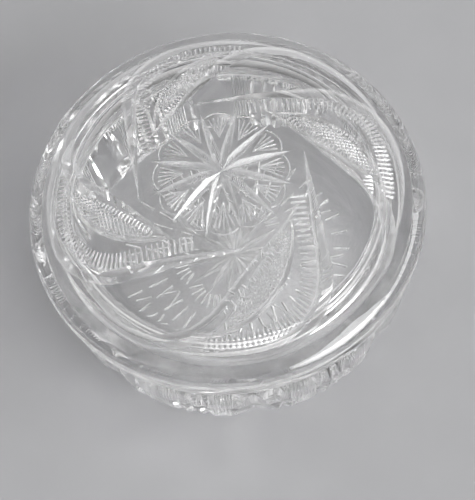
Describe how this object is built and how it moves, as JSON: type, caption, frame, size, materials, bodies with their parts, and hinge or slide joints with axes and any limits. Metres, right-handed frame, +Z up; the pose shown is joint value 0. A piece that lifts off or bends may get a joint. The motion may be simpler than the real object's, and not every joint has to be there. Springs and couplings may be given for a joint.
{
  "type": "lidded bowl",
  "caption": "Squat cut-crystal bowl with a loose domed lid, a star and a swirl of hooked mitre cuts on the lid and upright arches and flutes on the wall; holds sweets, powder or small things.",
  "frame": {"origin": "centre of the bowl's flat foot, on the table", "axes": "+Z up along the axis of the bowl and lid; the picture was taken from the -Y side, above"},
  "size_m": [0.14, 0.14, 0.0749],
  "materials": {
    "bowl_crystal": "polished cut lead crystal, colourless",
    "lid_crystal": "polished cut lead crystal, colourless, with finely hatched leaves"
  },
  "bodies": {
    "bowl": {"bowl": "bowl_crystal"},
    "lid": {"lid": "lid_crystal"}
  },
  "joints": [
    {"name": "lid_lift", "type": "slide", "parent": "bowl", "child": "lid", "axis": [0, 0, 1], "range_m": [0, 0.08]}
  ]
}
